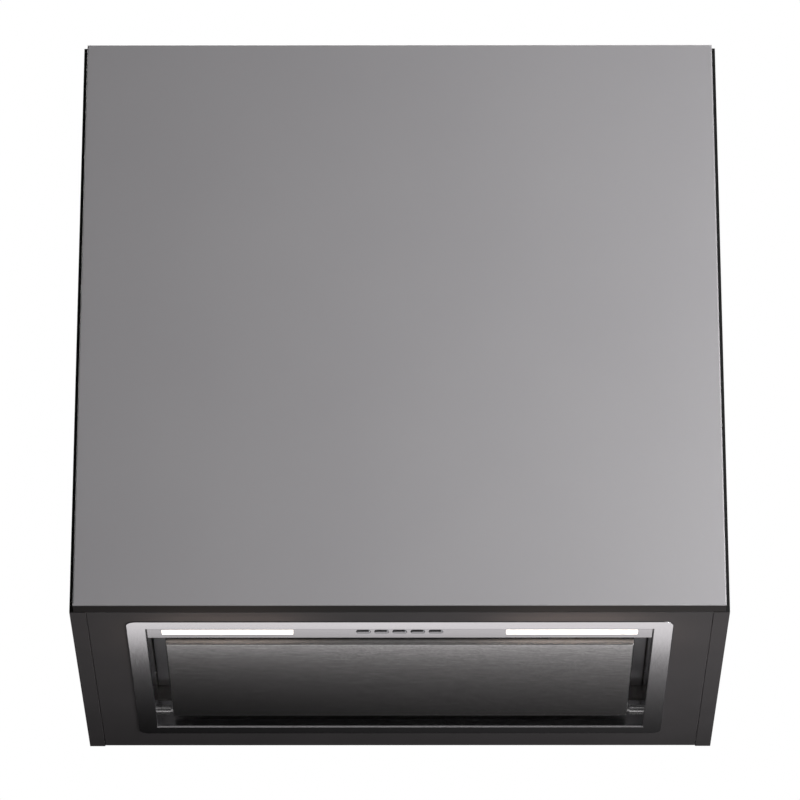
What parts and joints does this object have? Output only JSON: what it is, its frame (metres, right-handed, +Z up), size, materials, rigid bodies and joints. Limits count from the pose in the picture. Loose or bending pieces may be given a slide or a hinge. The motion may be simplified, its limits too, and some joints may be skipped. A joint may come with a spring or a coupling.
{
  "type": "range hood insert",
  "caption": "Built-in range hood insert with a steel trim frame, light strip, push buttons and hinged suction panel, in a box housing with a lift-up front.",
  "frame": {"origin": "middle of the underside, on the lower face of the trim frame", "axes": "+X to the right seen from the front, +Y to the wall, +Z up"},
  "size_m": [0.6, 0.3676, 0.578],
  "materials": {
    "housing_board": "fine textured laminate",
    "front_lacquer": "satin lacquer",
    "brushed_steel": "brushed lengthways",
    "galvanised_steel": "galvanised",
    "bright_steel": "bright zinc",
    "light_lens": "opal",
    "circuit_board": "solder mask",
    "black_plastic": "moulded",
    "grey_plastic": "moulded",
    "key_plastic": "satin",
    "magnet": "ferrite",
    "filter_aluminium": "satin",
    "motor_paint": "satin",
    "motor_core": "laminated"
  },
  "bodies": {
    "hood": {"housing_left_side": "housing_board", "housing_right_side": "housing_board", "housing_bottom": "housing_board", "housing_top": "housing_board", "upper_wall_rail": "housing_board", "lower_wall_rail": "housing_board", "trim_frame": "brushed_steel", "control_strip": "brushed_steel", "casing_left_wall": "galvanised_steel", "casing_right_wall": "galvanised_steel", "casing_front_wall": "galvanised_steel", "casing_rear_wall": "galvanised_steel", "casing_top": "galvanised_steel", "strip_cover": "galvanised_steel", "retaining_clips": "galvanised_steel", "magnet_brackets": "galvanised_steel", "filter_ledge": "galvanised_steel", "latch_keeper": "galvanised_steel", "flap_hinge_arms": "galvanised_steel", "motor_bracket": "galvanised_steel", "housing_screws": "bright_steel", "flap_hinge_pins": "bright_steel", "casing_rivets": "bright_steel", "clip_screws": "bright_steel", "panel_hinge_pins": "bright_steel", "panel_hinge_brackets": "bright_steel", "damper_pin": "bright_steel", "motor_bearings": "bright_steel", "light_lens_left": "light_lens", "light_lens_right": "light_lens", "light_boards": "circuit_board", "button_board": "circuit_board", "control_board": "circuit_board", "light_driver": "black_plastic", "button_switches": "black_plastic", "blower_left_half": "black_plastic", "blower_right_half": "black_plastic", "outlet_collar": "black_plastic", "cable_gland": "black_plastic", "control_box": "grey_plastic", "control_box_cover": "grey_plastic", "motor_capacitor": "grey_plastic", "panel_magnets": "magnet", "filter_frame": "filter_aluminium", "filter_mesh": "filter_aluminium", "motor_case": "motor_paint", "motor_stator": "motor_core"},
    "front_flap": {"front_panel": "front_lacquer"},
    "suction_tray": {"suction_panel": "brushed_steel"},
    "latch": {"filter_latch": "black_plastic"},
    "fan_wheel": {"impeller": "black_plastic", "motor_shaft": "bright_steel", "motor_rotor": "motor_core"},
    "front_damper": {"damper_flap_front": "black_plastic"},
    "rear_damper": {"damper_flap_rear": "black_plastic"},
    "key_1": {"button_1": "key_plastic"},
    "key_2": {"button_2": "key_plastic"},
    "key_3": {"button_3": "key_plastic"},
    "key_4": {"button_4": "key_plastic"},
    "key_5": {"button_5": "key_plastic"}
  },
  "joints": [
    {"name": "front_flap_lift", "type": "hinge", "parent": "hood", "child": "front_flap", "pos_m": [0, -0.17575, 0.5685], "axis": [-1, 0, 0], "range_deg": [0, 90]},
    {"name": "suction_panel_drop", "type": "hinge", "parent": "hood", "child": "suction_tray", "pos_m": [0, 0.09875, 0.007], "axis": [1, 0, 0], "range_deg": [0, 90]},
    {"name": "filter_latch_slide", "type": "slide", "parent": "hood", "child": "latch", "axis": [0, 1, 0], "range_m": [0, 0.008], "stiffness_N_per_m": 300},
    {"name": "fan_spin", "type": "hinge", "parent": "hood", "child": "fan_wheel", "pos_m": [0, 0.04675, 0.165], "axis": [-1, 0, 0], "continuous": true},
    {"name": "front_damper_swing", "type": "hinge", "parent": "hood", "child": "front_damper", "pos_m": [0, 0.00075, 0.3], "axis": [-1, 0, 0], "range_deg": [0, 75]},
    {"name": "rear_damper_swing", "type": "hinge", "parent": "hood", "child": "rear_damper", "pos_m": [0, 0.00075, 0.3], "axis": [1, 0, 0], "range_deg": [0, 75]},
    {"name": "button_1_press", "type": "slide", "parent": "hood", "child": "key_1", "axis": [0, 0, 1], "range_m": [0, 0.0015], "stiffness_N_per_m": 400},
    {"name": "button_2_press", "type": "slide", "parent": "hood", "child": "key_2", "axis": [0, 0, 1], "range_m": [0, 0.0015], "stiffness_N_per_m": 400},
    {"name": "button_3_press", "type": "slide", "parent": "hood", "child": "key_3", "axis": [0, 0, 1], "range_m": [0, 0.0015], "stiffness_N_per_m": 400},
    {"name": "button_4_press", "type": "slide", "parent": "hood", "child": "key_4", "axis": [0, 0, 1], "range_m": [0, 0.0015], "stiffness_N_per_m": 400},
    {"name": "button_5_press", "type": "slide", "parent": "hood", "child": "key_5", "axis": [0, 0, 1], "range_m": [0, 0.0015], "stiffness_N_per_m": 400}
  ]
}
